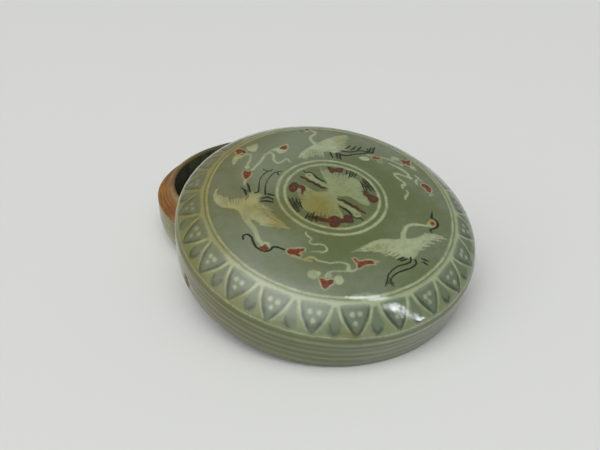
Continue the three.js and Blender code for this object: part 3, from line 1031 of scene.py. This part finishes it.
class Surface:
    """A new material, with the place in millimetres, the distance along the section and the shade so far."""

    def __init__(self, name):
        self.material = bpy.data.materials.new(name)
        self.material.use_nodes = True
        self.tree = self.material.node_tree
        self.tree.nodes.clear()
        where = node(self.tree, "ShaderNodeTexCoord", output="Object")
        self.place = vectors("MULTIPLY", where, (1 / mm,) * 3)
        flat = node(self.tree, "ShaderNodeAttribute", output="Vector", attribute_name="flat")
        self.along = node(self.tree, "ShaderNodeSeparateXYZ", {0: flat}, 2)
        self.shade = None

    def lay(self, share, over):
        """Lays a colour over the shade, as thickly as share says."""
        self.shade = blend(share, self.shade, over)

    def field(self, name):
        """A value that the mesh carries at its points."""
        return node(self.tree, "ShaderNodeAttribute", output="Fac", attribute_name=name)

    def grain(self, scale, detail=2.0, roughness=0.5):
        """Noise around 0.5 at the place."""
        return grain(self.place, scale, detail, roughness)

    def streaks(self, around_scale, along_scale):
        """Noise around 0.5 that runs in streaks round the axis."""
        squeezed = vectors("MULTIPLY", self.place, (around_scale,) * 3)
        raised = node(self.tree, "ShaderNodeCombineXYZ", {2: self.along * along_scale})
        return grain(vectors("ADD", squeezed, raised), 1.0, 4.0, 0.6)

    def glaze(self, light, dark, brown):
        """Grey-green celadon glaze: cloudy, mottled, with fine dark specks."""
        shade = blend(ramp(self.grain(0.07, 5.0, 0.6), 0.38, 0.62), dark, light)
        shade = blend(ramp(self.grain(0.3, 5.0, 0.7), 0.42, 0.72, 0.0, 0.6), shade, brown)
        return blend(ramp(self.grain(1.3), 0.66, 0.75, 0.0, 0.6), shade, glaze_specks)

    def glaze_height(self):
        """Height of the glaze's surface in millimetres: slow waves and fine orange peel."""
        return self.grain(2.2, 1.0) * 0.009 + (self.grain(0.6) * 0.035 + self.grain(0.14) * 0.09)

    def clay(self, light, dark):
        """Bare orange-brown clay, streaked round the axis."""
        shade = blend(ramp(self.streaks(0.06, 0.7), 0.38, 0.62), dark, light)
        return blend(ramp(self.grain(1.3, 3.0), 0.6, 0.72, 0.0, 0.5), shade, clay_pits)

    def finish(self, bare, smoothest, roughest, height):
        """Joins the shade, the glaze's roughness and a height in millimetres to the surface."""
        rough = bare * 0.5 + ramp(self.grain(0.2), 0.3, 0.7, smoothest, roughest)
        bump = node(self.tree, "ShaderNodeBump", {"Strength": 1.0, "Distance": mm, "Height": height})
        inputs = {"Base Color": self.shade, "Roughness": rough, "IOR": 1.5, "Normal": bump}
        surface = node(self.tree, "ShaderNodeBsdfPrincipled", inputs)
        output = self.tree.nodes.new("ShaderNodeOutputMaterial")
        self.tree.links.new(surface.socket, output.inputs["Surface"])
        return self.material


class LidSurface(Surface):
    """Celadon glaze over white, black and copper-red inlay, a bare edge and a plain glazed inside."""

    def __init__(self):
        super().__init__("inlaid_celadon")
        self.rough_edge = self.grain(1.0, 3.0, 0.6) * 0.7 - 0.35
        self.swaying = self.along + (self.grain(0.09) * 0.5 - 0.25)
        self.patchy = self.grain(0.45, 4.0, 0.6)
        self.soiled = ramp(self.field("stain"), 0.4, 0.9, 1.0, 0.35)
        self.red = self.field("red") + self.rough_edge
        outlined = self.field("red") - ramp(self.along, medallion_edge, medallion_edge + 2.0,
                                            medallion_red_outline, red_outline)
        white = lower(turned_lines(self.swaying, white_lines), lower(self.field("white"), outlined))
        self.white = white + self.rough_edge
        self.streaked = self.streaks(0.05, 0.45)
        self.throwing = turned_lines(self.swaying, faint_lines) + (self.streaked * -2.4 + 1.2)

    def lay_ground(self):
        """The glaze, greener in the middle, with its greyer clouds and painted sheen."""
        middle = self.glaze(*middle_glaze)
        outer = self.glaze(*outer_glaze)
        self.shade = blend(ramp(self.along, *glaze_change), middle, outer)
        # Greyer clouds, partly painted sheen of reflected light
        self.lay(self.field("cloud") * 0.75, grey_cloud_and_sheen)

    def lay_petal_band(self):
        """The pale wash round the petals, with painted sheen next to the rings, and the grey-green in the
        petals.
        """
        band = higher(band_start - self.swaying, self.swaying - band_end)
        petal = self.rough_edge * 1.3 + self.field("petal")
        wash = higher(band, petal * -1.0)
        thin = within(wash, 0.3) * ramp(self.patchy, 0.3, 0.7, 0.5, 0.85)
        self.lay(thin * ramp(self.along, *wash_thins, 1.0, 0.7), band_wash)
        # Pale wash and painted sheen next to the rings
        upper = turned_lines(self.swaying, bright_wash_and_sheen) + (self.patchy * 1.6 - 0.8)
        self.lay(within(upper, 0.6, 0.7) * self.soiled, band_wash_and_sheen)
        self.lay(within(petal, 0.4, 0.7), petal_glaze)

    def lay_white(self):
        """White slip: yellower next to the red, thinner in the medallion and muted where it is soiled."""
        slip = blend(within(self.red - 0.6, 0.3, 0.7), white_slip, reddened_slip)
        slip = blend(ramp(self.along, medallion_edge, medallion_edge - 1.5), slip, medallion_slip)
        thinner = lower(ramp(self.grain(0.2, 4.0), 0.36, 0.56, 0.72, 1.0),
                        ramp(self.along, medallion_edge - 1.5, medallion_edge + 0.5, 0.72, 1.0))
        thick = within(self.white, 0.4) * ramp(self.patchy, 0.3, 0.6, 0.7, 1.0) * thinner
        self.lay(thick * higher(self.soiled, ramp(self.along, *ring_keeps_clean)), slip)
        dots = within(self.field("pale") + self.rough_edge, 0.6, 0.8)
        self.lay(dots * thinner * self.soiled, dot_slip)

    def lay_skirt(self):
        """Greener glaze on the skirt, its brown and pale streaks, the thrown lines and the grooves."""
        skirt = ramp(self.along, skirt_start - 0.6, skirt_start + 0.6)
        # The greener skirt glaze stays off the clouds, so the painted sheen on the skirt's right stays pale
        self.lay(skirt * ramp(self.field("cloud"), 0.2, 0.9, 0.55, 0.0), skirt_glaze)
        self.lay(skirt * ramp(self.streaked, 0.5, 0.68, 0.0, 0.55), skirt_brown)
        self.lay(skirt * ramp(self.streaked, 0.46, 0.3, 0.0, 0.5), skirt_pale)
        self.lay(within(self.throwing, 0.4, 0.45), throwing_line)
        groove = turned_lines(self.swaying, grooves) + (self.streaked * 2.4 - 1.2)
        self.lay(within(groove, 0.4, 0.5), groove_glaze)

    def lay_red_and_black(self):
        """The dark gaps between feathers, copper red, the petals' faded grey veins and black slip."""
        self.lay(within(self.rough_edge * 0.5 + self.field("cut"), 0.25, 0.5), feather_gap)
        dull = self.grain(0.9, 3.0) + ramp(self.along, medallion_edge + 2.0, medallion_edge, 0.0, 0.15)
        self.lay(within(self.red, 0.3, 0.92), blend(ramp(dull, 0.34, 0.66), copper_red, dull_red))
        faded = ramp(self.grain(0.2, 3.0), 0.35, 0.55, 0.45, 1.0) * (self.soiled * 0.6 + 0.4)
        self.lay(within(self.field("grey") + self.rough_edge, 0.7, 0.85) * faded, grey_slip)
        self.lay(within(self.rough_edge * 0.5 + self.field("black"), 0.18, 0.95), black_slip)

    def lay_stains(self):
        """Ochre stains, strongest on the white slip."""
        stain = self.field("stain") * ramp(self.patchy, 0.3, 0.7, 0.75, 1.0)
        ochre = mix(stain * ramp(self.white, 0.8, 0.0, 0.7, 1.0), clean_tint, ochre_tint)
        self.shade = vectors("MULTIPLY", self.shade, ochre)

    def finish_edge(self):
        """The inside's plain glaze, the bare clay of the edge and of the chips, and the surface itself."""
        inside = ramp(self.along, lid_inside_start - 0.4, lid_inside_start + 0.4)
        self.lay(inside, self.glaze(*inside_glaze))
        edge = higher(lid_edge_start + 0.5 - self.along, self.along - lid_inside_start)
        bare = higher(within(edge + self.rough_edge, 0.3), ramp(self.field("chip"), 0.0, 0.25))
        self.lay(bare, self.clay(*lid_edge_clay))
        return self.finish(bare, 0.06, 0.12, within(self.throwing, 0.5) * 0.03 + self.glaze_height())


def lid_material():
    """The lid's finish, laid coat over coat."""
    lid = LidSurface()
    lid.lay_ground()
    lid.lay_petal_band()
    lid.lay_white()
    lid.lay_skirt()
    lid.lay_red_and_black()
    lid.lay_stains()
    return lid.finish_edge()


def base_material():
    """Pale celadon outside, an orange-brown bare ledge and collar with painted shadow of the lid on its far
    side, and a dark well with painted shade deeper down.
    """
    base = Surface("plain_celadon")
    rough_edge = base.grain(0.6, 3.0) * 1.2 - 0.6
    base.shade = base.glaze(*base_glaze)
    # The well gets darker deeper down: dark glaze with painted shade
    well = blend(ramp(base.along, well_start + 2.0, well_start + 10.0), well_rim_glaze, well_glaze_and_shade)
    well = blend(ramp(base.grain(0.2, 4.0, 0.6), 0.4, 0.7, 0.0, 0.6), well, well_pools)
    base.lay(ramp(base.along, well_start - 0.3, well_start + 0.8), well)
    foot = rough_edge * 2.0 + turned_lines(base.along, worn_foot)
    base.lay(within(foot, 0.8, 0.7), worn_glaze)
    collar = ramp(base.along, collar_start + 1.5, collar_start + 3.0)
    clay = blend(collar, base.clay(*ledge_clay), base.clay(*collar_clay))
    # Painted shadow of the lid, laid over the clay on the far side
    far = node(base.tree, "ShaderNodeSeparateXYZ", {0: base.place}, 1) + rough_edge * 4.0
    clay = blend(ramp(far, 30.0, 40.0, 0.0, 0.9), clay, lid_shadow_on_clay)
    edge = higher(ledge_start - base.along, base.along - well_start)
    bare = within(edge + rough_edge, 0.3)
    base.lay(bare, clay)
    return base.finish(bare, 0.15, 0.25, base.glaze_height())


def show_piece(piece, material, body, node_name):
    """Gives a piece its material and says what it rides on, replaces and is finished as."""
    piece.data.materials.append(material)
    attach(piece, body)
    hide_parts(node_name)


def direction(azimuth, elevation):
    """Which way a direction in degrees points, with its azimuth from +Y towards +X."""
    azimuth, elevation = math.radians(azimuth), math.radians(elevation)
    level = math.cos(elevation)
    return Vector((math.sin(azimuth) * level, math.cos(azimuth) * level, math.sin(elevation)))


def make_camera():
    """The photograph's view of the box."""
    camera = link("camera", bpy.data.cameras.new("camera"))
    camera.data.lens = camera_lens
    camera.data.sensor_width = camera_sensor
    turn = Matrix.Rotation(math.radians(-camera_right), 4, "Z")
    turn = turn @ Matrix.Rotation(math.radians(90 - camera_down), 4, "X")
    turn = turn @ Matrix.Rotation(math.radians(camera_roll), 4, "Z")
    camera.matrix_world = Matrix.Translation(camera_place) @ turn
    bpy.context.scene.camera = camera


def make_lamp(name, start, end, power):
    """A long narrow lamp between two directions from the box. Only shine shows it."""
    target = Vector(lamp_target)
    start, end = (target + lamp_distance * direction(*way) for way in (start, end))
    lamp = bpy.data.lights.new(name, "AREA")
    lamp.shape = "RECTANGLE"
    lamp.size = (end - start).length
    lamp.size_y = lamp_width
    lamp.energy = power
    lamp.color = lamp_colour
    middle = (start + end) / 2
    x = (end - start).normalized()
    z = middle - target
    z = (z - x * z.dot(x)).normalized()
    light = link(name, lamp)
    light.matrix_world = Matrix.Translation(middle) @ Matrix((x, z.cross(x), z)).transposed().to_4x4()
    light.visible_diffuse = False


def make_floor():
    """A plain pale floor."""
    size = floor_half_width
    mesh = bpy.data.meshes.new("floor")
    corners = [(-size, -size, 0), (size, -size, 0), (size, size, 0), (-size, size, 0)]
    mesh.from_pydata(corners, [], [(0, 1, 2, 3)])
    material = bpy.data.materials.new("floor_paint")
    material.use_nodes = True
    shader = material.node_tree.nodes["Principled BSDF"]
    shader.inputs["Base Color"].default_value = colour(*floor_colour)
    shader.inputs["Roughness"].default_value = floor_roughness
    mesh.materials.append(material)
    link("floor", mesh)


def make_room():
    """An even, soft room that is brighter in a few places overhead, and a pale background."""
    world = bpy.data.worlds.new("studio")
    world.use_nodes = True
    tree = world.node_tree
    looking = node(tree, "ShaderNodeTexCoord", output="Generated")
    room = room_level
    for azimuth, elevation, inner, outer, strength in glows:
        inputs = {0: looking, 1: direction(azimuth, elevation)}
        towards = node(tree, "ShaderNodeVectorMath", inputs, "Value", operation="DOT_PRODUCT")
        fading = (math.cos(math.radians(angle)) for angle in (outer, inner))
        room = ramp(towards, *fading, 0.0, strength) + room
    seen = node(tree, "ShaderNodeLightPath", output="Is Camera Ray")
    level = room * (1.0 - seen) + seen * background_level
    background = tree.nodes["Background"]
    background.inputs[0].default_value = (1.0, 1.0, 1.0, 1.0)
    tree.links.new(level.socket, background.inputs[1])
    bpy.context.scene.world = world


make_camera()
make_floor()
make_room()
for lamp_name, lamp_settings in lamps.items():
    make_lamp(lamp_name, *lamp_settings)

crane_with_red_crown()
crane_with_crest()
crane_with_ochre_head()
clouds_far_left()
clouds_far_right()
clouds_near()
medallion_bird()
medallion_clouds()
half_turn(medallion_bird)
petals()
show_piece(build_lid(), lid_material(), "lid", "lid")
show_piece(build_base(), base_material(), "base", "base")

bpy.context.scene.view_settings.view_transform = "Standard"
